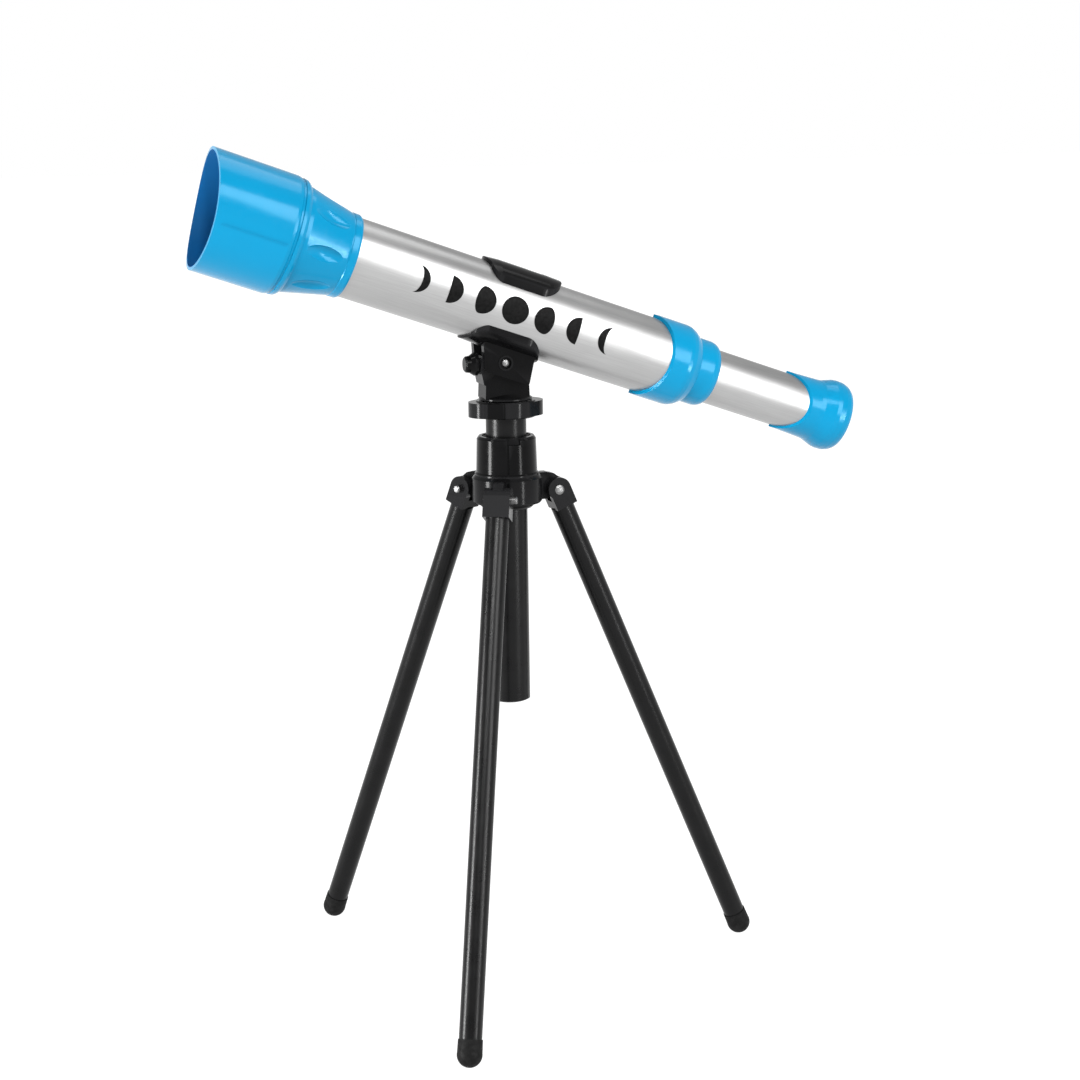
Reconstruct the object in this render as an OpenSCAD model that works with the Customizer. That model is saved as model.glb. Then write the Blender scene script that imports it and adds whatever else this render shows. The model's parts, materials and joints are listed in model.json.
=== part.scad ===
// Toy telescope on a folding table tripod.
// +Z is up and the floor is Z = 0. The tripod's column stands on the Z axis.
// The telescope's axis lies in the XZ plane, with its objective towards -X.

/* [Telescope] */
// Upward tilt of the telescope at rest, in degrees
tilt = 19.7; // [5:0.1:35]
// Height of the telescope's axis above the tilt pivot
axis_h = 25.4; // [25:0.1:27]
// Radius of the main tube at its front end
tube_front_r = 19.7; // [19.5:0.1:20]
// Radius of the main tube at its rear end
tube_rear_r = 19.1; // [18.8:0.1:19.5]
// Distance from the tilt pivot to the middle of the hood's mouth
mouth_x = 166; // [155:1:180]
// Outer radius of the hood at its mouth
hood_r = 29.5; // [29:0.1:31]
// Radius of the sliding draw tube
draw_r = 14; // [13.5:0.1:14]
// Length of draw tube that shows between the collar and the eyepiece
draw_shows = 42; // [20:1:70]

/* [Tripod] */
// Height of the leg pivots above the floor
hub_z = 250.5; // [200:0.1:300]
// Distance of the leg pivots from the column's axis
leg_pivot_r = 25.6; // [25:0.1:30]
// Splay of each leg from the vertical, in degrees
splay = 22.9; // [18:0.1:26]
// Turn of the first leg from the +X axis, in degrees
leg_turn = 3.3; // [-20:0.1:40]
// Diameter of a leg tube at its top
leg_d = 11.6; // [11:0.1:12]
// Diameter of a leg tube at its bottom
leg_foot_d = 11.1; // [10:0.1:11.2]
// Radius of the centre column
column_r = 10.1; // [9.6:0.1:10.3]
// Length of the centre column below the leg pivots
column_drop = 106; // [60:1:120]

/* [Head] */
// Height of the tilt pivot above the leg pivots
pivot_rise = 65.8; // [65:0.1:75]
// Width of the head across its cheeks
head_w = 22; // [20:0.5:24]
// Thickness of each cheek
cheek_t = 4; // [3:0.1:4.5]
// Offset of the tilt pivot from the column's axis, towards the objective
pivot_back = 3; // [2:0.1:4]
// Reach of the pan ring's two ends from the column's axis
lobe_reach = 19.4; // [17:0.1:22]

/* [Hidden] */
$fn = 64;

// Small overshoot for cuts
over = 1;
// Clearance of a shaft that turns or slides in its bore
run_gap = 0.08;
// Gap between parts that pass each other
pass_gap = 0.35;

// Stations along the telescope, measured from above the tilt pivot
// Shift of the stations from the pivot along the telescope
tube_shift = 3.2;
hood_rear_x = -121;
cell_spigot_x = -134;
lens_front_x = -104.5;
tube_front_x = -97.5;
cell_rear_x = -92.4;
collar_front_x = 67.2;
tube_rear_x = 86.2;
collar_step_x = 93.6;
collar_rear_x = 105.2;
cup_front_x = collar_rear_x + draw_shows;
cup_rear_x = cup_front_x + 35.6;
draw_front_x = 32;
draw_rear_x = cup_front_x + 18.4;

// Radii inside the telescope
tube_wall = 1;
draw_wall = 0.9;
lens_r = 18.4;
cell_seat_r = 26.6;
collar_r = 21;
collar_small_r = 16.9;
cup_r = 15.7;
cup_flare_r = 18.3;
eye_r = 11;

// The saddle under the tube and its two screws
saddle_r = 21.4;
saddle_screw_r = 1.1;
SADDLE_SCREW_X = [-17, 9];

// Heights of the tripod's head, from the floor
pivot_z = hub_z + pivot_rise;
ring_low_z = hub_z + 38.1;
ring_high_z = hub_z + 46.4;
sleeve_low_z = hub_z + 9;
sleeve_high_z = hub_z + 28.6;
column_low_z = hub_z - column_drop;
column_bore_r = column_r - 1.6;
spigot_r = 6.8;
spigot_low_z = ring_low_z - 16;

// Tilt pivot
screw_r = 1.6;
eye_boss_r = 3.7;
tongue_w = head_w - 2 * cheek_t - 2 * pass_gap;
// Where the lock knob meets the neck, and how far it sits below the pivot
knob_x = -14.2;
knob_drop = 1;
knob_screw_r = 1.3;

// Legs
foot_r = 6.1;
sole_cut = 0.45;
pin_r = 1.9;
cap_w = 13.2;
lug_w = 5.2;
cap_low = 9.8;
leg_plug_r = 4.4;
plug_h = 3.4;
leg_len = (hub_z - foot_r + sole_cut) / cos(splay);
LEG_TURNS = [leg_turn, leg_turn + 120, leg_turn + 240];

// ---------------------------------------------------------------- helpers

// Places its children in the telescope's frame: X along the tube, eyepiece at +X
module tube_frame() {
    head_frame()
        translate([tube_shift, 0, axis_h])
            children();
}

// Places its children in the head's frame: X along the tube, the origin on the pivot
module head_frame() {
    translate([-pivot_back, 0, pivot_z])
        rotate([0, tilt, 0])
            children();
}

// Turns a profile of [radius, station] points about the telescope's axis
module lathe(points) {
    rotate([0, 90, 0])
        rotate_extrude()
            polygon(points);
}

// A cylinder along Y, centred
module cross_pin(r, w) {
    rotate([90, 0, 0])
        cylinder(r = r, h = w, center = true);
}

// An upright cylinder whose wall sweeps back at the sides; its front line is at x
module sweep_cut(x, r, lean = 0) {
    translate([x, 0, 0])
        rotate([0, lean, 0])
            translate([r, 0, 0])
                cylinder(r = r, h = 120, center = true);
}

// Keeps what lies behind a pair of slanted planes that meet at x, over and under the tube
module wedge_cut(x, slope) {
    reach = 40;
    linear_extrude(height = 100, center = true)
        polygon([[x, 0], [x + slope * reach, -reach], [x + 3 * reach, -reach],
            [x + 3 * reach, reach], [x + slope * reach, reach]]);
}

// Places its children on a leg's pivot, with X outwards and Z up
module leg_pivot(turn) {
    rotate([0, 0, turn])
        translate([leg_pivot_r, 0, hub_z])
            children();
}

// Places its children in a leg's own frame, with -Z running down the leg
module leg_frame(turn) {
    leg_pivot(turn)
        rotate([0, -splay, 0])
            children();
}

// A biconvex lens of radius r: faces of ball radius b, meeting a rim of thickness t
module lens(x, r, b, t) {
    centre = b - t / 2 - (b - sqrt(b * b - r * r));
    translate([x, 0, 0])
        rotate([0, 90, 0])
            rotate_extrude()
                intersection() {
                    translate([0, centre])
                        circle(r = b, $fn = 256);
                    translate([0, -centre])
                        circle(r = b, $fn = 256);
                    translate([0, -b])
                        square([r, 2 * b]);
                }
}

// The plan of the sight pad and the saddle, with rounded corners; nose_x is its front
module plate_plan(nose_x, half_w) {
    bow_r = 20;
    front_r = 6.5;
    rear_r = 11;
    front_x = nose_x + 8.7;
    rear_x = nose_x + 29.3;
    union() {
        intersection() {
            translate([nose_x + bow_r, 0])
                circle(r = bow_r, $fn = 128);
            translate([nose_x, front_r - half_w])
                square([bow_r, 2 * (half_w - front_r)]);
        }
        for (side = [-1, 1])
            translate([front_x, side * (half_w - front_r)])
                circle(r = front_r);
        for (side = [-1, 1])
            translate([rear_x, side * (half_w - rear_r)])
                circle(r = rear_r);
        translate([front_x, -half_w])
            square([rear_x - front_x, 2 * half_w]);
        translate([rear_x, rear_r - half_w])
            square([rear_r, 2 * (half_w - rear_r)]);
    }
}

// ------------------------------------------------------------- telescope

module objective_hood() {
    bore_r = hood_r - 2;
    color("deepskyblue")
        tube_frame()
            intersection() {
                union() {
                    for (turn = [98, 278])
                        rotate([turn, 0, 0])
                            translate([-160.4, -0.25, hood_r - 1.2])
                                cube([32, 0.5, 1.4]);
                    lathe([[bore_r + 0.3, -mouth_x - 8], [hood_r, -mouth_x - 8],
                        [29.3, hood_rear_x - 6.5], [29, hood_rear_x - 5],
                        [28.3, hood_rear_x - 4.4], [28.3, hood_rear_x - 3.5],
                        [28.8, hood_rear_x - 3.2], [28.6, hood_rear_x - 1.6],
                        [27.8, hood_rear_x - 0.4], [27.3, hood_rear_x],
                        [cell_seat_r, hood_rear_x], [cell_seat_r, cell_spigot_x],
                        [bore_r, cell_spigot_x - 1.2]]);
                }
                sweep_cut(-mouth_x - 0.6, 190, -6);
            }
}

module objective_cell() {
    slope = atan2(26.1 - 20.9, 21.4);
    color("deepskyblue")
        tube_frame()
            difference() {
                lathe([[24.6, cell_spigot_x], [cell_seat_r, cell_spigot_x],
                    [cell_seat_r, hood_rear_x], [26.3, hood_rear_x],
                    [26.1, hood_rear_x + 2.2], [20.9, hood_rear_x + 23.6],
                    [20.7, hood_rear_x + 24.1], [20.7, hood_rear_x + 24.5],
                    [20.95, hood_rear_x + 24.8], [20.9, cell_rear_x - 1],
                    [20.4, cell_rear_x], [19.8, cell_rear_x], [19.8, tube_front_x],
                    [17.3, tube_front_x], [17.3, tube_front_x - 1],
                    [lens_r, tube_front_x - 1], [lens_r, lens_front_x - 6],
                    [19, lens_front_x - 6.6], [24.6, lens_front_x - 25]]);
                for (turn = [6:45:321])
                    rotate([turn, 0, 0])
                        translate([hood_rear_x + 12.9, 0, 26.6])
                            rotate([0, 90 + slope, 0])
                                dimple();
            }
}

// A long oval tool that presses one dimple into the cone
module dimple() {
    length = 29.4;
    depth = 5;
    arc = (length * length / 4 + depth * depth) / (2 * depth);
    rotate_extrude()
        intersection() {
            translate([depth - arc, 0])
                circle(r = arc, $fn = 128);
            translate([0, -length / 2])
                square([depth, length]);
        }
}

module lens_ring() {
    color([0.06, 0.06, 0.07])
        tube_frame()
            lathe([[15.2, lens_front_x - 4], [16.4, lens_front_x - 5],
                [lens_r, lens_front_x - 5], [lens_r, lens_front_x - 0.4],
                [16.9, lens_front_x - 0.4]]);
}

module objective_lens() {
    color([0.75, 0.85, 0.9, 0.4])
        tube_frame()
            lens(lens_front_x + 2.8, lens_r, 84, 2.2);
}

module main_tube() {
    color([0.74, 0.75, 0.76])
        tube_frame()
            difference() {
                lathe([[tube_front_r - tube_wall, tube_front_x],
                    [tube_front_r, tube_front_x], [tube_rear_r, tube_rear_x],
                    [tube_rear_r - tube_wall, tube_rear_x]]);
                for (x = SADDLE_SCREW_X)
                    translate([x, 0, -saddle_r])
                        cylinder(r = saddle_screw_r + 0.05, h = saddle_r);
            }
}

module tube_baffle() {
    color([0.05, 0.05, 0.05])
        tube_frame()
            lathe([[9.5, -26.5], [18.2, -30], [18.3, -30], [18.3, -22], [17.3, -22],
                [17.3, -27.6], [9.5, -25.5]]);
}

module sight_pad() {
    pad_r = 21.8;
    color([0.09, 0.09, 0.1])
        tube_frame()
            intersection() {
                difference() {
                    lathe([[tube_front_r - 0.12, -34], [pad_r - 1.1, -34], [pad_r, -20],
                        [pad_r, 6], [pad_r - 0.7, 26], [tube_front_r - 0.32, 26]]);
                    translate([0, 0, 200 + pad_r - 0.6])
                        cube([9, 6, 400], center = true);
                }
                linear_extrude(height = 40)
                    plate_plan(-27.1, 15.9);
            }
}

module rear_collar() {
    color("deepskyblue")
        tube_frame()
            intersection() {
                lathe([[19.15, collar_front_x - 6], [20.2, collar_front_x - 6],
                    [collar_r, collar_front_x + 3], [collar_r, tube_rear_x - 0.6],
                    [20.8, tube_rear_x + 1.2], [20, tube_rear_x + 3.4],
                    [18.6, tube_rear_x + 5.6], [17.5, tube_rear_x + 7],
                    [collar_small_r, collar_step_x], [collar_small_r, collar_rear_x - 4],
                    [16.6, collar_rear_x - 2.4], [15.9, collar_rear_x - 0.9],
                    [14.9, collar_rear_x], [draw_r + 0.4, collar_rear_x],
                    [draw_r + 0.4, collar_step_x + 3], [16, collar_step_x + 3],
                    [16, tube_rear_x], [tube_rear_r + 0.05, tube_rear_x]]);
                wedge_cut(collar_front_x, 0.47);
            }
}

module friction_bush() {
    color([0.07, 0.07, 0.07])
        tube_frame()
            lathe([[draw_r + run_gap, 60], [18, 60], [18, tube_rear_x - 1],
                [16, tube_rear_x - 1], [16, collar_step_x + 3],
                [draw_r + run_gap, collar_step_x + 3]]);
}

module draw_tube() {
    color([0.74, 0.75, 0.76])
        tube_frame()
            lathe([[draw_r - draw_wall, draw_front_x], [draw_r, draw_front_x],
                [draw_r, draw_rear_x], [draw_r - draw_wall, draw_rear_x]]);
}

module draw_stop() {
    color([0.07, 0.07, 0.07])
        tube_frame()
            lathe([[8, draw_front_x - 2.5], [17.2, draw_front_x - 2.5],
                [17.2, draw_front_x], [draw_r - draw_wall, draw_front_x],
                [draw_r - draw_wall, draw_front_x + 6], [12, draw_front_x + 6],
                [12, draw_front_x]]);
}

module eyepiece_cup() {
    flare_x = cup_rear_x - 7.5;
    color("deepskyblue")
        tube_frame()
            intersection() {
                lathe([[draw_r, cup_front_x - 4], [14.9, cup_front_x - 4],
                    [15.2, cup_front_x + 5], [cup_r, cup_front_x + 17.6],
                    [16, cup_front_x + 20], [16.9, cup_front_x + 22.8],
                    [18, cup_front_x + 26], [cup_flare_r, flare_x],
                    [18.25, cup_rear_x - 4.6], [17.6, cup_rear_x - 2.2],
                    [16.6, cup_rear_x - 0.6], [15.4, cup_rear_x],
                    [14.2, cup_rear_x - 0.5], [13.2, cup_rear_x - 2],
                    [8.6, cup_rear_x - 12], [8.6, draw_rear_x + 1.5],
                    [eye_r, draw_rear_x + 1.5], [eye_r, draw_rear_x],
                    [draw_r, draw_rear_x]]);
                wedge_cut(cup_front_x - 0.4, 0.84);
            }
}

module eye_lens() {
    color([0.75, 0.85, 0.9, 0.4])
        tube_frame()
            lens(draw_rear_x - 1.1, eye_r, 30, 1);
}

module lens_spacer() {
    color([0.06, 0.06, 0.06])
        tube_frame()
            lathe([[9.6, draw_rear_x - 22], [draw_r - draw_wall, draw_rear_x - 22],
                [draw_r - draw_wall, draw_rear_x], [eye_r, draw_rear_x],
                [eye_r, draw_rear_x - 1.6], [9.6, draw_rear_x - 3.6]]);
}

module field_lens() {
    color([0.75, 0.85, 0.9, 0.4])
        tube_frame()
            lens(draw_rear_x - 24.5, draw_r - draw_wall, 42, 1);
}

// ------------------------------------------------------------ tilting head

module saddle() {
    color([0.09, 0.09, 0.1])
        tube_frame()
            intersection() {
                difference() {
                    lathe([[tube_front_r - 0.12, -32], [saddle_r - 1, -32],
                        [saddle_r, -12], [saddle_r, 9], [saddle_r - 0.6, 20],
                        [tube_front_r - 0.28, 20]]);
                    for (x = SADDLE_SCREW_X)
                        translate([x, 0, -saddle_r - over])
                            union() {
                                cylinder(r = saddle_screw_r + 0.05, h = saddle_r);
                                cylinder(r = 2.2, h = over + 1.2);
                            }
                }
                translate([0, 0, -40])
                    linear_extrude(height = 40)
                        plate_plan(-26.9, 16.6);
            }
}

module saddle_screws() {
    color([0.55, 0.56, 0.58])
        tube_frame()
            for (x = SADDLE_SCREW_X)
                translate([x, 0, 0.2 - saddle_r])
                    union() {
                        cylinder(r = saddle_screw_r, h = 3.5);
                        cylinder(r = 2.1, h = 1);
                    }
}

// Side outline of a cheek, in the head's frame
module cheek_outline() {
    polygon([[-9.4, -6.2], [-8.6, -6.9], [14.2, -6.9], [15.1, -6], [13.9, 4], [13.7, 10],
        [-13.4, 10], [-13.4, 4.4], [-11.8, 0.6]]);
}

module tilt_head() {
    recess = 0.9;
    color([0.1, 0.1, 0.11])
        head_frame()
            difference() {
                union() {
                    for (side = [-1, 1])
                        translate([0, side * (head_w - cheek_t) / 2, 0])
                            rotate([90, 0, 0])
                                linear_extrude(height = cheek_t, center = true)
                                    cheek_outline();
                    for (side = [-1, 1])
                        translate([0, side * (head_w / 2), 0])
                            cross_pin(3.8, 0.8);
                    translate([11, 2 - head_w / 2, 1.8])
                        cube([2.4, head_w - 4, 6]);
                }
                translate([0, 0, axis_h])
                    rotate([0, 90, 0])
                        cylinder(r = saddle_r, h = 80, center = true);
                cross_pin(screw_r, head_w + 2);
                for (side = [-1, 1])
                    translate([0, side * head_w / 2, 0])
                        cross_pin(2.9, 2 * recess);
            }
}

module tilt_screw() {
    seat = head_w / 2 - 0.9;
    color([0.7, 0.71, 0.72])
        head_frame()
            rotate([90, 0, 0])
                rotate_extrude()
                    polygon([[0, seat + 1.2], [0.8, seat + 1.1], [1.6, seat + 0.7],
                        [2, seat], [screw_r, seat], [screw_r, -head_w / 2 - 2.4],
                        [0, -head_w / 2 - 2.4]]);
}

module tilt_nut() {
    color([0.62, 0.63, 0.64])
        head_frame()
            translate([0, head_w / 2 + 0.5, 0])
                difference() {
                    rotate([90, 0, 0])
                        cylinder(r = 2.8, h = 2.6, center = true, $fn = 6);
                    cross_pin(screw_r, 4);
                }
}

module tilt_lock_knob() {
    hub_x = knob_x - 6.9;
    color([0.1, 0.1, 0.11])
        translate([0, 0, pivot_z - knob_drop])
            union() {
                intersection() {
                    lathe([[0, hub_x], [3.3, hub_x], [4, hub_x + 0.7], [4.3, hub_x + 2.6],
                        [5.7, knob_x - 2.2], [5.9, knob_x - 1.6], [5.9, knob_x - 0.8],
                        [5.4, knob_x - 0.35], [0, knob_x - 0.35]]);
                    rotate([0, 90, 0])
                        rotate([0, 0, 22.5])
                            cylinder(r = 6.1, h = 60, center = true, $fn = 8);
                }
                translate([knob_x - 1, 0, 0])
                    rotate([0, 90, 0])
                        cylinder(r = knob_screw_r, h = -pivot_back - screw_r - 0.4 - knob_x + 1);
            }
}

// ---------------------------------------------------------- neck and column

module tilt_neck() {
    low = ring_high_z + 0.35 - pivot_z;
    color([0.1, 0.1, 0.11])
        translate([0, 0, pivot_z])
            difference() {
                union() {
                    translate([-pivot_back, 0, 0])
                        cross_pin(eye_boss_r, tongue_w);
                    rotate([90, 0, 0])
                        linear_extrude(height = tongue_w, center = true)
                            polygon([[-pivot_back, -eye_boss_r], [-pivot_back, 3.2],
                                [knob_x + 1.2, 3.2], [knob_x, 1.8], [knob_x, -4.6],
                                [-13, -10.8], [-12, -11.4], [-12.3, low + 1],
                                [10.6, low + 1], [10.3, -11.4], [9.3, -11.2],
                                [4, -7], [0.5, -1.2]]);
                    translate([0, 0, low])
                        rotate_extrude()
                            polygon([[0, 0], [13.2, 0], [13.4, 0.3], [13.3, 0.9],
                                [12.4, 1.4], [6.6, 2.9], [0, 2.9]]);
                    translate([0, 0, spigot_low_z - pivot_z])
                        cylinder(r = spigot_r, h = low - spigot_low_z + pivot_z);
                }
                translate([-pivot_back, 0, 0])
                    cross_pin(screw_r + run_gap, 40);
                translate([knob_x - over, 0, -knob_drop])
                    rotate([0, 90, 0])
                        cylinder(r = knob_screw_r + run_gap, h = -pivot_back - knob_x + over);
                translate([0, 0, spigot_low_z - pivot_z - over])
                    cylinder(r = 2, h = 12);
            }
}

module pan_screw() {
    color([0.55, 0.56, 0.58])
        translate([0, 0, spigot_low_z])
            union() {
                translate([0, 0, -1.6])
                    cylinder(r = 7.6, h = 1.6);
                translate([0, 0, -3.4])
                    cylinder(r = 3.4, h = 2);
                cylinder(r = 2, h = 10);
            }
}

module pan_lock_ring() {
    height = ring_high_z - ring_low_z;
    color([0.1, 0.1, 0.11])
        translate([0, 0, ring_low_z])
            difference() {
                union() {
                    rotate_extrude()
                        polygon([[9, 0.4], [9, height], [14.6, height], [15.2, height - 0.6],
                            [15.2, 0.6], [14.6, 0], [9.4, 0]]);
                    for (turn = [8, 188])
                        rotate([0, 0, turn])
                            ring_lobe(height);
                }
                translate([0, 0, -over])
                    cylinder(r = column_r + run_gap, h = height + 2 * over);
            }
}

// One end of the pan ring's oval, reaching along +X; its sides run at a tangent to the ring
module ring_lobe(height) {
    lobe_r = 11;
    ring_r = 15.2;
    reach = lobe_reach - lobe_r;
    turn = acos((ring_r - lobe_r) / reach);
    translate([0, 0, 0.5])
        union() {
            translate([reach, 0, 0])
                cylinder(r = lobe_r, h = height - 1);
            linear_extrude(height = height - 1)
                polygon([[ring_r * cos(turn), -ring_r * sin(turn)],
                    [reach + lobe_r * cos(turn), -lobe_r * sin(turn)],
                    [reach + lobe_r * cos(turn), lobe_r * sin(turn)],
                    [ring_r * cos(turn), ring_r * sin(turn)]]);
        }
}

module centre_column() {
    bush_z = spigot_low_z + 0.1;
    color([0.12, 0.12, 0.13])
        difference() {
            translate([0, 0, column_low_z])
                cylinder(r = column_r, h = ring_high_z - column_low_z);
            translate([0, 0, column_low_z - over])
                cylinder(r = column_bore_r, h = bush_z - column_low_z + over);
            translate([0, 0, bush_z - over])
                cylinder(r = spigot_r + run_gap, h = ring_high_z - bush_z + 2 * over);
        }
}

module column_plug() {
    color([0.06, 0.06, 0.06])
        translate([0, 0, column_low_z])
            rotate_extrude()
                polygon([[0, -1], [column_bore_r - 0.4, -1], [column_r - 0.7, -0.4],
                    [column_r - 0.3, 0], [column_bore_r, 0], [column_bore_r, 8],
                    [column_bore_r - 1.5, 8], [column_bore_r - 1.5, 1.4], [0, 1.4]]);
}

// ------------------------------------------------------------ hub and legs

module spider_hub() {
    color([0.1, 0.1, 0.11])
        difference() {
            union() {
                translate([0, 0, hub_z])
                    rotate_extrude()
                        polygon([[9, -7.5], [12.6, -7.5], [13.4, -6.6], [13.8, -5],
                            [17, -5], [17.5, -4.2], [17.5, 7.4], [16.9, 8.2],
                            [16.2, 9], [9, 9]]);
                for (turn = LEG_TURNS)
                    leg_pivot(turn)
                        hub_lug();
            }
            translate([0, 0, hub_z - 20])
                cylinder(r = column_r + run_gap, h = 40);
            for (turn = LEG_TURNS)
                leg_pivot(turn)
                    cross_pin(pin_r, 30);
        }
}

// The lug that a leg cap straddles, with a root that blends into the hub
module hub_lug() {
    root = 13.5 - leg_pivot_r;
    union() {
        cross_pin(4.4, lug_w);
        rotate([90, 0, 0])
            linear_extrude(height = lug_w, center = true)
                polygon([[0, -4.4], [4, -1.8], [3.9, 2], [1.8, 5.6], [-1.4, 8],
                    [-5, 8.9], [root, 8.9], [root, -4.8], [root + 6, -4.8]]);
    }
}

module hub_sleeve() {
    groove_turn = 256;
    color([0.1, 0.1, 0.11])
        difference() {
            rotate_extrude()
                polygon([[12.2, sleeve_low_z], [16, sleeve_low_z],
                    [16, sleeve_low_z + 0.8], [15.3, sleeve_low_z + 1.6],
                    [14.8, sleeve_high_z - 1.4], [13.8, sleeve_high_z],
                    [12.2, sleeve_high_z]]);
            rotate([0, 0, groove_turn])
                translate([14.4, -0.5, sleeve_low_z + 2])
                    cube([4, 1, 30]);
            rotate([0, 0, groove_turn + 12])
                translate([13.7, -3.2, sleeve_high_z - 3.4])
                    cube([4, 6.4, 8]);
        }
}

module column_bush() {
    color([0.05, 0.05, 0.05])
        translate([0, 0, sleeve_low_z])
            difference() {
                cylinder(r = 12.2, h = sleeve_high_z - sleeve_low_z - 0.4);
                translate([0, 0, -over])
                    cylinder(r = column_r + run_gap, h = 40);
            }
}

// Three pins, each with a domed head and a plain end that stands out of its cap
module leg_pins() {
    head = -cap_w / 2;
    color([0.5, 0.51, 0.52])
        for (turn = LEG_TURNS)
            leg_pivot(turn)
                rotate([-90, 0, 0])
                    rotate_extrude()
                        polygon([[0, head - 1], [1.5, head - 0.9], [2.4, head - 0.4],
                            [2.6, head], [pin_r, head], [pin_r, -head + 2.4],
                            [pin_r - 0.5, -head + 2.9], [0, -head + 2.9]]);
}

// A leg's top cap: a fork over the hub's lug, with a socket for the leg tube
module leg_cap(turn) {
    back = 5;
    front = 6.3;
    color([0.1, 0.1, 0.11])
        leg_frame(turn)
            difference() {
                union() {
                    translate([0.3, 0, 0])
                        cross_pin(6, cap_w);
                    translate([-back, -cap_w / 2, -cap_low])
                        cube([back + front, cap_w, cap_low]);
                }
                translate([-20, -lug_w / 2 - pass_gap, -5.2])
                    cube([20 + 4.8, lug_w + 2 * pass_gap, 30]);
                cross_pin(pin_r + run_gap, 30);
                translate([0, 0, -cap_low - over])
                    cylinder(r = leg_plug_r, h = plug_h + over);
            }
}

module leg_tube(turn) {
    top = -cap_low;
    color([0.12, 0.12, 0.13])
        leg_frame(turn)
            difference() {
                union() {
                    translate([0, 0, -leg_len])
                        cylinder(r1 = leg_foot_d / 2, r2 = leg_d / 2, h = leg_len + top);
                    translate([0, 0, top])
                        cylinder(r = leg_plug_r, h = plug_h);
                }
                translate([0, 0, -leg_len - over])
                    cylinder(r = leg_foot_d / 2 - 1.2, h = leg_len + top + over);
            }
}

// A rubber ball foot: a socket round the tube, a plug in it and a flat sole on the floor
module foot(turn) {
    socket_r = leg_foot_d / 2 + 0.05;
    plug_r = leg_foot_d / 2 - 1.2;
    color([0.07, 0.07, 0.07])
        difference() {
            leg_frame(turn)
                translate([0, 0, -leg_len])
                    difference() {
                        union() {
                            sphere(r = foot_r);
                            cylinder(r1 = foot_r - 0.05, r2 = 5.9, h = 7);
                            cylinder(r = plug_r, h = 12);
                        }
                        difference() {
                            cylinder(r = socket_r, h = 20);
                            cylinder(r = plug_r, h = 30, center = true);
                        }
                    }
            translate([0, 0, -20])
                cube([600, 600, 40], center = true);
        }
}

module leg_cap_right() { leg_cap(LEG_TURNS[0]); }
module leg_cap_left() { leg_cap(LEG_TURNS[1]); }
module leg_cap_front() { leg_cap(LEG_TURNS[2]); }
module leg_tube_right() { leg_tube(LEG_TURNS[0]); }
module leg_tube_left() { leg_tube(LEG_TURNS[1]); }
module leg_tube_front() { leg_tube(LEG_TURNS[2]); }
module foot_right() { foot(LEG_TURNS[0]); }
module foot_left() { foot(LEG_TURNS[1]); }
module foot_front() { foot(LEG_TURNS[2]); }

objective_hood();
objective_cell();
lens_ring();
objective_lens();
main_tube();
tube_baffle();
sight_pad();
rear_collar();
friction_bush();
saddle();
tilt_head();
saddle_screws();
tilt_screw();
tilt_nut();
draw_tube();
draw_stop();
eyepiece_cup();
eye_lens();
lens_spacer();
field_lens();
tilt_lock_knob();
tilt_neck();
pan_screw();
pan_lock_ring();
centre_column();
column_plug();
spider_hub();
hub_sleeve();
column_bush();
leg_pins();
leg_cap_right();
leg_cap_left();
leg_cap_front();
leg_tube_right();
leg_tube_left();
leg_tube_front();
foot_right();
foot_left();
foot_front();
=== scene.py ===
"""Looks of the toy telescope on its tripod: materials, printed marks, small details, light and camera."""
import json
from math import atan2, cos, pi, radians, sin, sqrt

import bmesh
import bpy
from mathutils import Matrix, Vector


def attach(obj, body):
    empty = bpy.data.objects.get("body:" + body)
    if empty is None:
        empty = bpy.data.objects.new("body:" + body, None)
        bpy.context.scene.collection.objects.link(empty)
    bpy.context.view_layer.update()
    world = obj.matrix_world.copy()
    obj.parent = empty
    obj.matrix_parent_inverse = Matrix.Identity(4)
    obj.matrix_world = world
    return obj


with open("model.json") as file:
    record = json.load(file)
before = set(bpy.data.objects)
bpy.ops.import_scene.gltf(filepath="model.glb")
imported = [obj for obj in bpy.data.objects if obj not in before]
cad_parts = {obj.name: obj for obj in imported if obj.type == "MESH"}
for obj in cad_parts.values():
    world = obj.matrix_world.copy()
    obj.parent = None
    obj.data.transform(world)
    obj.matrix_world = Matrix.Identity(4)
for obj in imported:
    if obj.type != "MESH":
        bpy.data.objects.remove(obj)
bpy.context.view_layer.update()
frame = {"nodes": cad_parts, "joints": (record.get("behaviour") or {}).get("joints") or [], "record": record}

MM = 0.001
FLOOR_GLOW = 1.0
FLOOR_REACH = 12.0

# ------------------------------------------------------------------ the frame's own geometry

JOINT = {j["name"]: j for j in frame["joints"]}
PIVOT = Vector(JOINT["tilt"]["pos_m"])
TUBE_AXIS = Vector(JOINT["focus_slide"]["axis"])
TUBE_TILT = atan2(-TUBE_AXIS.z, TUBE_AXIS.x)
AXIS_HEIGHT = 25.4 * MM
TUBE_SHIFT = 3.2 * MM
TUBE_FRONT_X, TUBE_REAR_X = -97.5 * MM, 86.2 * MM
TUBE_FRONT_R, TUBE_REAR_R = 19.7 * MM, 19.1 * MM
HOOD_BORE_R, HOOD_BORE_END_X = 28.0 * MM, -133 * MM

# Row frame from the telescope's frame: X along the tube, eyepiece at +X, origin above the pivot
TUBE_TO_ROW = (Matrix.Translation(PIVOT) @ Matrix.Rotation(TUBE_TILT, 4, "Y")
               @ Matrix.Translation((TUBE_SHIFT, 0, AXIS_HEIGHT)))


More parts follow.
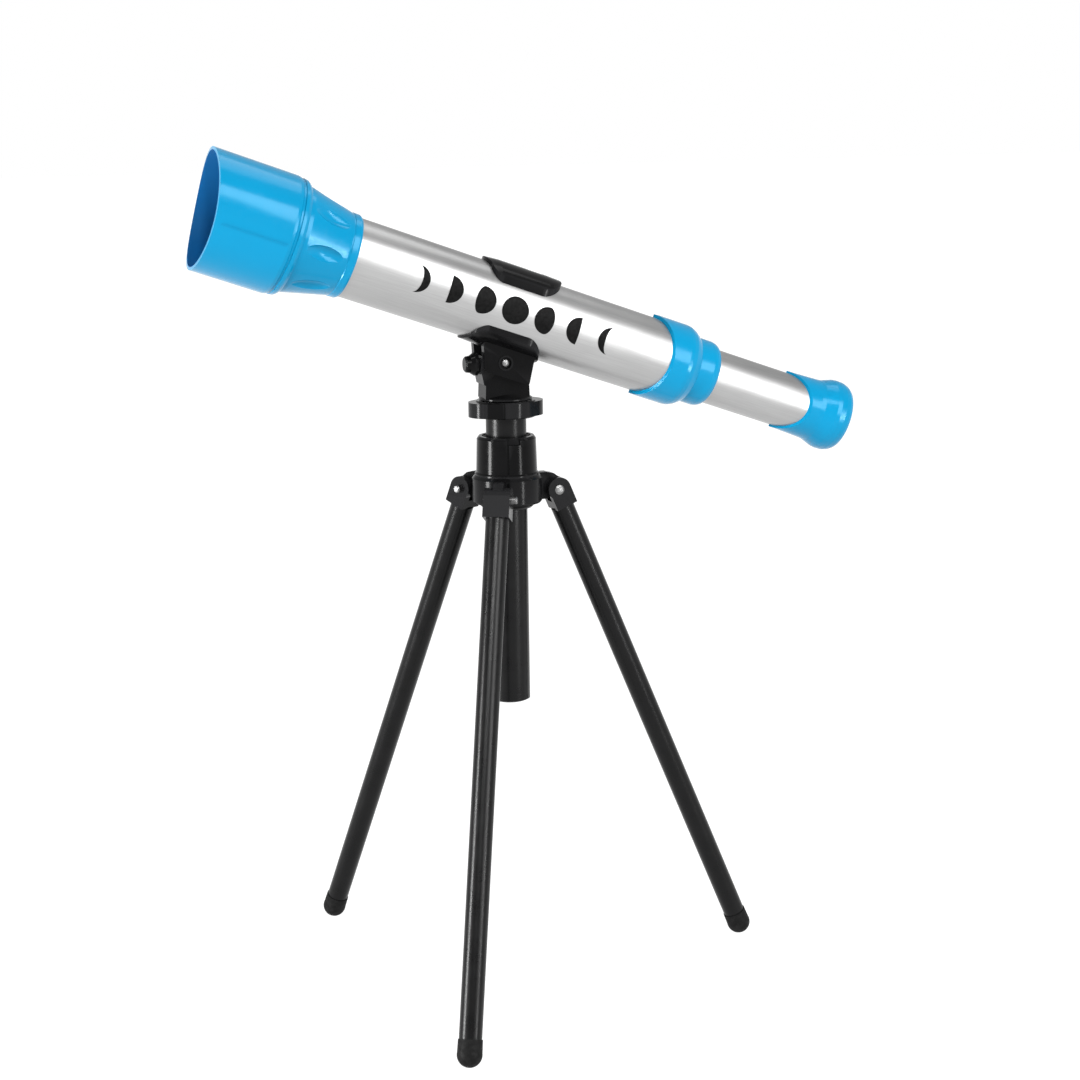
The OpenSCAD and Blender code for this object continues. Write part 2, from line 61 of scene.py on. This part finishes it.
def tube_radius(x):
    """Outer radius of the main tube at station x."""
    share = (x - TUBE_FRONT_X) / (TUBE_REAR_X - TUBE_FRONT_X)
    return TUBE_FRONT_R + share * (TUBE_REAR_R - TUBE_FRONT_R)


def on_tube(x, angle, lift=0.0):
    """Point on the main tube's skin; angle is measured down from the top, towards -Y."""
    r = tube_radius(x) + lift
    return TUBE_TO_ROW @ Vector((x, -r * sin(angle), r * cos(angle)))


# ------------------------------------------------------------------ shader helpers


class Nodes:
    """A material under construction, with short calls for the nodes that it uses."""

    def __init__(self, name):
        self.material = bpy.data.materials.new(name)
        self.material.use_nodes = True
        self.tree = self.material.node_tree
        self.tree.nodes.clear()
        self.bsdf = self.add("ShaderNodeBsdfPrincipled")
        output = self.add("ShaderNodeOutputMaterial")
        self.link(self.bsdf.outputs["BSDF"], output.inputs["Surface"])

    def add(self, kind, **settings):
        node = self.tree.nodes.new(kind)
        for key, value in settings.items():
            setattr(node, key, value)
        return node

    def link(self, source, target):
        self.tree.links.new(source, target)

    def coords(self, scale=(1, 1, 1), along_tube=False):
        """Object coordinates, scaled; along_tube turns X to run along the telescope."""
        where = self.add("ShaderNodeTexCoord").outputs["Object"]
        if along_tube:
            turn = self.add("ShaderNodeMapping", vector_type="TEXTURE")
            turn.inputs["Location"].default_value = TUBE_TO_ROW.translation
            turn.inputs["Rotation"].default_value = (0, TUBE_TILT, 0)
            self.link(where, turn.inputs["Vector"])
            where = turn.outputs["Vector"]
        sized = self.add("ShaderNodeMapping")
        sized.inputs["Scale"].default_value = scale
        self.link(where, sized.inputs["Vector"])
        return sized.outputs["Vector"]

    def noise(self, where, scale, detail=3.0, roughness=0.5):
        node = self.add("ShaderNodeTexNoise")
        node.inputs["Scale"].default_value = scale
        node.inputs["Detail"].default_value = detail
        node.inputs["Roughness"].default_value = roughness
        self.link(where, node.inputs["Vector"])
        return node.outputs["Fac"]

    def ramp(self, factor, stops):
        """stops are (position, colour or grey)."""
        node = self.add("ShaderNodeValToRGB")
        elements = node.color_ramp.elements
        while len(elements) < len(stops):
            elements.new(0.5)
        for element, (position, value) in zip(elements, stops):
            element.position = position
            grey = isinstance(value, (int, float))
            element.color = (value, value, value, 1) if grey else (*value, 1)
        self.link(factor, node.inputs["Fac"])
        return node.outputs["Color"]

    def mix(self, factor, a, b, blend="MIX"):
        node = self.add("ShaderNodeMix", data_type="RGBA", blend_type=blend)
        for socket, value in ((node.inputs["Factor"], factor), (node.inputs[6], a),
                              (node.inputs[7], b)):
            if isinstance(value, bpy.types.NodeSocket):
                self.link(value, socket)
            elif isinstance(value, (int, float)):
                socket.default_value = value
            else:
                socket.default_value = (*value, 1)
        return node.outputs[2]

    def bump(self, height, strength, distance, normal=None):
        node = self.add("ShaderNodeBump")
        node.inputs["Strength"].default_value = strength
        node.inputs["Distance"].default_value = distance
        self.link(height, node.inputs["Height"])
        if normal is not None:
            self.link(normal, node.inputs["Normal"])
        return node.outputs["Normal"]

    def wear(self, low, high):
        """1 on sharp convex edges and 0 elsewhere."""
        edge = self.add("ShaderNodeNewGeometry").outputs["Pointiness"]
        return self.ramp(edge, [(low, 0.0), (high, 1.0)])

    def inside_of_hood(self, where):
        """1 on the hood's bore and 0 elsewhere, from coordinates along the tube."""
        split = self.add("ShaderNodeSeparateXYZ")
        self.link(where, split.inputs["Vector"])
        radius = self.math("SQRT", self.math("ADD", self.math("POWER", split.outputs["Y"], 2),
                                             self.math("POWER", split.outputs["Z"], 2)))
        within = self.math("LESS_THAN", radius, HOOD_BORE_R)
        ahead = self.math("LESS_THAN", split.outputs["X"], HOOD_BORE_END_X)
        return self.math("MULTIPLY", within, ahead)

    def math(self, operation, a, b=None):
        node = self.add("ShaderNodeMath", operation=operation)
        for socket, value in zip(node.inputs, (a, b)):
            if isinstance(value, bpy.types.NodeSocket):
                self.link(value, socket)
            elif value is not None:
                socket.default_value = value
        return node.outputs["Value"]

    def set(self, **sockets):
        """Values or links on the Principled shader; names use _ for a space."""
        for key, value in sockets.items():
            socket = self.bsdf.inputs[key.replace("_", " ")]
            if isinstance(value, bpy.types.NodeSocket):
                self.link(value, socket)
            else:
                socket.default_value = value
        return self


# ------------------------------------------------------------------ materials


def blue_plastic():
    """Glossy sky-blue ABS: faint flow marks, a little orange peel, a duller inside, and painted shade
    darkening the hood's bore.
    """
    m = Nodes("blue_plastic")
    where = m.coords(along_tube=True)
    flow = m.noise(m.coords((0.5, 1, 1), True), 26, 4)
    outside = m.ramp(flow, [(0.3, (0.000, 0.153, 0.292)), (0.7, (0.000, 0.166, 0.314))])
    # Painted shade: the hood's bore gets a darker blue, standing in for the shade inside the hollow.
    painted_shade_inside = m.ramp(flow, [(0.3, (0.000, 0.066, 0.205)), (0.7, (0.000, 0.074, 0.225))])
    hollow = m.inside_of_hood(where)
    colour = m.mix(hollow, outside, painted_shade_inside)
    scuff = m.ramp(m.noise(where, 420, 5, 0.7), [(0.48, 0.15), (0.75, 0.27)])
    rough = m.mix(hollow, scuff, (0.62, 0.62, 0.62))
    peel = m.bump(m.noise(where, 900, 2), 0.05, 0.0002)
    skin = m.bump(flow, 0.03, 0.001, peel)
    return m.set(Base_Color=colour, Roughness=rough, Normal=skin, IOR=1.5,
                 Specular_IOR_Level=0.32, Specular_Tint=(0.45, 0.80, 1.0, 1)).material


def silver_tube():
    """Satin silver tube: fine lines along its length and soft cloudy patches."""
    m = Nodes("silver_tube")
    lines = m.noise(m.coords((0.02, 1, 1), True), 2600, 3, 0.6)
    cloud = m.noise(m.coords(along_tube=True), 30, 3)
    grain = m.noise(m.coords(along_tube=True), 3200, 2)
    tone = m.mix(0.35, m.ramp(lines, [(0.3, 0.32), (0.7, 0.40)]),
                 m.ramp(cloud, [(0.3, 0.34), (0.7, 0.38)]))
    rough = m.mix(0.5, m.ramp(cloud, [(0.3, 0.30), (0.7, 0.38)]),
                  m.ramp(grain, [(0.3, 0.28), (0.7, 0.40)]))
    skin = m.bump(lines, 0.06, 0.00012)
    return m.set(Base_Color=tone, Metallic=0.92, Roughness=rough, Normal=skin,
                 Anisotropic=0.25).material


def black_plastic():
    """Semi-gloss black moulding: pebbled by the mould, a touch greyer where edges are handled."""
    m = Nodes("black_plastic")
    where = m.coords()
    patch = m.noise(where, 60, 4)
    base = m.ramp(patch, [(0.3, (0.0014, 0.0014, 0.0015)), (0.7, (0.0024, 0.0024, 0.0026))])
    colour = m.mix(m.wear(0.52, 0.60), base, (0.009, 0.009, 0.0095))
    rough = m.ramp(m.noise(where, 300, 5, 0.7), [(0.35, 0.13), (0.70, 0.20)])
    pebble = m.bump(m.noise(where, 1500, 2), 0.05, 0.0002)
    return m.set(Base_Color=colour, Roughness=rough, Normal=pebble, IOR=1.5,
                 Specular_IOR_Level=0.08).material


def inner_black():
    """Matt black plastic that swallows light inside the tube."""
    m = Nodes("inner_black")
    where = m.coords()
    colour = m.ramp(m.noise(where, 120, 4), [(0.3, 0.006), (0.7, 0.014)])
    rough = m.ramp(m.noise(where, 700, 3), [(0.3, 0.60), (0.7, 0.78)])
    grit = m.bump(m.noise(where, 2200, 2), 0.25, 0.0002)
    return m.set(Base_Color=colour, Roughness=rough, Normal=grit).material


def black_tube():
    """Black enamelled tube: glossy, with drawn lines along it and a few dull rubs."""
    m = Nodes("black_tube")
    where = m.coords()
    drawn = m.noise(m.coords((1, 1, 0.04)), 1500, 3)
    rubs = m.noise(where, 90, 5, 0.65)
    colour = m.ramp(rubs, [(0.35, (0.0014, 0.0014, 0.0015)), (0.75, (0.0030, 0.0030, 0.0032))])
    rough = m.ramp(rubs, [(0.3, 0.25), (0.75, 0.34)])
    skin = m.bump(drawn, 0.02, 0.00015)
    return m.set(Base_Color=colour, Roughness=rough, Normal=skin, IOR=1.5,
                 Specular_IOR_Level=0.16).material


def steel():
    """Zinc-plated steel, a little cloudy."""
    m = Nodes("steel")
    where = m.coords()
    tone = m.ramp(m.noise(where, 500, 4), [(0.3, 0.15), (0.7, 0.22)])
    rough = m.ramp(m.noise(where, 900, 3), [(0.3, 0.32), (0.7, 0.46)])
    skin = m.bump(m.noise(where, 2500, 2), 0.08, 0.0001)
    return m.set(Base_Color=tone, Metallic=1.0, Roughness=rough, Normal=skin).material


def foot_rubber():
    """Dull black rubber with patches of dust."""
    m = Nodes("foot_rubber")
    where = m.coords()
    dust = m.ramp(m.noise(where, 260, 5, 0.7), [(0.45, 0.002), (0.75, 0.008)])
    rough = m.ramp(m.noise(where, 500, 3), [(0.3, 0.55), (0.7, 0.75)])
    skin = m.bump(m.noise(where, 1800, 3), 0.2, 0.0002)
    return m.set(Base_Color=dust, Roughness=rough, Normal=skin,
                 Specular_IOR_Level=0.12).material


def lens_glass():
    """Clear lens glass with a faint cool coating and a little dust."""
    m = Nodes("lens_glass")
    dust = m.ramp(m.noise(m.coords(), 800, 5, 0.7), [(0.55, 0.02), (0.80, 0.09)])
    tint = m.ramp(m.noise(m.coords(), 40, 2), [(0.3, (0.86, 0.93, 0.97)), (0.7, (0.92, 0.96, 1.0))])
    return m.set(Base_Color=tint, Roughness=dust, Transmission_Weight=1.0, IOR=1.52,
                 Coat_Weight=0.3, Coat_Roughness=0.05).material


def print_ink():
    """Black printing ink: slightly uneven and duller than the tube."""
    m = Nodes("print_ink")
    where = m.coords()
    colour = m.ramp(m.noise(where, 700, 4), [(0.3, 0.002), (0.7, 0.006)])
    rough = m.ramp(m.noise(where, 1200, 3), [(0.3, 0.40), (0.7, 0.52)])
    return m.set(Base_Color=colour, Roughness=rough, Specular_IOR_Level=0.04).material


def floor_paper():
    """Back-lit studio paper, white out to the horizon and hardly shaded by what stands on it."""
    m = Nodes("floor_paper")
    grain = m.noise(m.coords(), 3, 3)
    tone = m.ramp(grain, [(0.3, 0.14), (0.7, 0.16)])
    glow = m.ramp(grain, [(0.3, 0.985), (0.7, 1.0)])
    return m.set(Base_Color=tone, Roughness=0.9, Specular_IOR_Level=0.1, Emission_Color=glow,
                 Emission_Strength=FLOOR_GLOW).material


MATERIALS = {"blue_plastic": blue_plastic(), "silver_tube": silver_tube(),
             "black_plastic": black_plastic(), "inner_black": inner_black(),
             "black_tube": black_tube(), "steel": steel(), "foot_rubber": foot_rubber(),
             "lens_glass": lens_glass()}
INK = print_ink()


def paint_frame():
    """Gives every CAD node the material of its slot."""
    for part in frame["record"]["subparts"]:
        node = frame["nodes"][part["node"]]
        node.data.materials.clear()
        node.data.materials.append(MATERIALS[part["material_slot"]])


# ------------------------------------------------------------------ printed marks

SHEET_LOW, SHEET_HIGH = 0.03 * MM, 0.09 * MM
SHEET_COLUMNS = 8
PRINT_ANGLE = radians(88.5)
PRINT_CENTRE_X = -9.4 * MM
MOON_R = 6.9 * MM
MOON_PITCH = 17.4 * MM
MOON_ROWS = 28
# Share of the moon's height at which its top and bottom rows stop, so that no row is a point
MOON_TIP = 0.999


def strip_piece(name, rows, body, material):
    """A thin closed sheet on the tube from rows of (angle, x_start, x_end), in order."""
    mesh = bpy.data.meshes.new(name)
    bm = bmesh.new()
    grid = {}
    for level, lift in enumerate((SHEET_LOW, SHEET_HIGH)):
        for i, (angle, start, end) in enumerate(rows):
            for k in range(SHEET_COLUMNS + 1):
                x = start + (end - start) * k / SHEET_COLUMNS
                grid[level, i, k] = bm.verts.new(on_tube(x, angle, lift))
    last = len(rows) - 1
    for i in range(last):
        for k in range(SHEET_COLUMNS):
            for level in (0, 1):
                quad = [grid[level, i, k], grid[level, i + 1, k],
                        grid[level, i + 1, k + 1], grid[level, i, k + 1]]
                bm.faces.new(quad if level else quad[::-1])
        for k, flip in ((0, False), (SHEET_COLUMNS, True)):
            quad = [grid[0, i, k], grid[0, i + 1, k], grid[1, i + 1, k], grid[1, i, k]]
            bm.faces.new(quad[::-1] if flip else quad)
    for i, flip in ((0, True), (last, False)):
        for k in range(SHEET_COLUMNS):
            quad = [grid[0, i, k], grid[0, i, k + 1], grid[1, i, k + 1], grid[1, i, k]]
            bm.faces.new(quad[::-1] if flip else quad)
    bmesh.ops.recalc_face_normals(bm, faces=bm.faces)
    bm.to_mesh(mesh)
    bm.free()
    mesh.materials.append(material)
    piece = bpy.data.objects.new(name, mesh)
    bpy.context.scene.collection.objects.link(piece)
    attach(piece, body)


def moon_rows(x, lit_from, lit_to):
    """Rows of a moon's lit part, between two terminators given as shares of its limb."""
    rows = []
    for i in range(MOON_ROWS + 1):
        height = MOON_R * cos(pi * i / MOON_ROWS) * MOON_TIP
        limb = sqrt(MOON_R * MOON_R - height * height)
        angle = PRINT_ANGLE - height / tube_radius(x)
        rows.append((angle, x + lit_from * limb, x + lit_to * limb))
    return rows


def print_moons():
    """A row of moon phases along the viewer's side, growing to full and waning again."""
    phases = [(0.45, 1), (0.0, 1), (-0.5, 1), (-1, 1), (-1, 0.5), (-1, 0.0), (-1, -0.45)]
    for i, (lit_from, lit_to) in enumerate(phases):
        x = (i - (len(phases) - 1) / 2) * MOON_PITCH + PRINT_CENTRE_X
        strip_piece(f"printed_moon_{i + 1}", moon_rows(x, lit_from, lit_to),
                    "telescope", INK)


# ------------------------------------------------------------------ studio


def studio_light(name, azimuth, elevation, distance, size, power):
    """A soft area light that faces LIGHT_TARGET; azimuth is counted from the camera's side."""
    turn = radians(CAMERA_AZIMUTH + azimuth)
    up = radians(elevation)
    spot = LIGHT_TARGET + distance * Vector((sin(turn) * cos(up), -cos(turn) * cos(up), sin(up)))
    data = bpy.data.lights.new(name, "AREA")
    data.shape = "RECTANGLE"
    data.size, data.size_y = size
    data.energy = power
    light = bpy.data.objects.new(name, data)
    light.location = spot
    light.rotation_euler = (LIGHT_TARGET - spot).to_track_quat("-Z", "Y").to_euler()
    bpy.context.scene.collection.objects.link(light)


LIGHT_TARGET = Vector((0, 0, 0.30))
# The room's grey at the horizon and overhead: (sine of the elevation, grey)
ROOM_GREYS = ((0.07, 1.0), (0.30, 0.50))
CAMERA_AZIMUTH = -17
CAMERA_ELEVATION = 12.1
CAMERA_DISTANCE = 1.1892
CAMERA_TARGET = Vector((0, 0, 0.200))
CAMERA_PAN, CAMERA_TILT, CAMERA_ROLL = -0.781, 1.205, 0.943
SENSOR_WIDTH = 36
FOCAL_SHARE = 2.1804


def add_camera():
    """A long lens, a little above the telescope, seeing it from its -Y side and its front."""
    data = bpy.data.cameras.new("camera")
    data.sensor_width = SENSOR_WIDTH
    data.lens = FOCAL_SHARE * SENSOR_WIDTH
    data.clip_end = 50
    camera = bpy.data.objects.new("camera", data)
    turn, up = radians(CAMERA_AZIMUTH), radians(CAMERA_ELEVATION)
    place = CAMERA_TARGET + CAMERA_DISTANCE * Vector(
        (sin(turn) * cos(up), -cos(turn) * cos(up), sin(up)))
    facing = (CAMERA_TARGET - place).to_track_quat("-Z", "Y").to_matrix().to_4x4()
    aim = (Matrix.Rotation(radians(CAMERA_PAN), 4, "Y")
           @ Matrix.Rotation(radians(CAMERA_TILT), 4, "X")
           @ Matrix.Rotation(radians(-CAMERA_ROLL), 4, "Z"))
    camera.matrix_world = Matrix.Translation(place) @ facing @ aim
    bpy.context.scene.collection.objects.link(camera)
    bpy.context.scene.camera = camera


def add_floor():
    """A large sheet of pale paper under the feet."""
    mesh = bpy.data.meshes.new("floor")
    corners = [(x * FLOOR_REACH, y * FLOOR_REACH, 0)
               for x, y in ((-1, -1), (1, -1), (1, 1), (-1, 1))]
    mesh.from_pydata(corners, [], [(0, 1, 2, 3)])
    mesh.materials.append(floor_paper())
    floor = bpy.data.objects.new("floor", mesh)
    bpy.context.scene.collection.objects.link(floor)


def add_world():
    """A dim room whose horizon is as white as the paper, so that no line shows between them."""
    world = bpy.data.worlds.new("studio")
    world.use_nodes = True
    tree = world.node_tree
    background = tree.nodes["Background"]
    where = tree.nodes.new("ShaderNodeTexCoord")
    split = tree.nodes.new("ShaderNodeSeparateXYZ")
    rise = tree.nodes.new("ShaderNodeValToRGB")
    for element, (height, grey) in zip(rise.color_ramp.elements, ROOM_GREYS):
        element.position = height
        element.color = (grey, grey, grey, 1)
    tree.links.new(where.outputs["Generated"], split.inputs["Vector"])
    tree.links.new(split.outputs["Z"], rise.inputs["Fac"])
    tree.links.new(rise.outputs["Color"], background.inputs["Color"])
    background.inputs["Strength"].default_value = 1.0
    bpy.context.scene.world = world


def light_studio():
    """A soft key, a softbox for the tube's bright band, and narrow strips for the black parts."""
    studio_light("key_softbox", -10, 38, 1.3, (0.9, 0.7), 3)
    studio_light("right_softbox", 48, 27, 1.2, (0.5, 0.95), 14)
    studio_light("right_strip", 54, -4, 1.15, (0.10, 0.42), 3.5)
    studio_light("left_strip", -66, -1, 1.1, (0.20, 0.56), 19)
    studio_light("front_strip", 8, 34, 1.2, (0.12, 0.40), 7)
    studio_light("top_sheet", 160, 70, 1.4, (1.0, 1.0), 6)
    bpy.context.scene.view_settings.view_transform = "Standard"


add_camera()
paint_frame()
print_moons()
add_floor()
add_world()
light_studio()
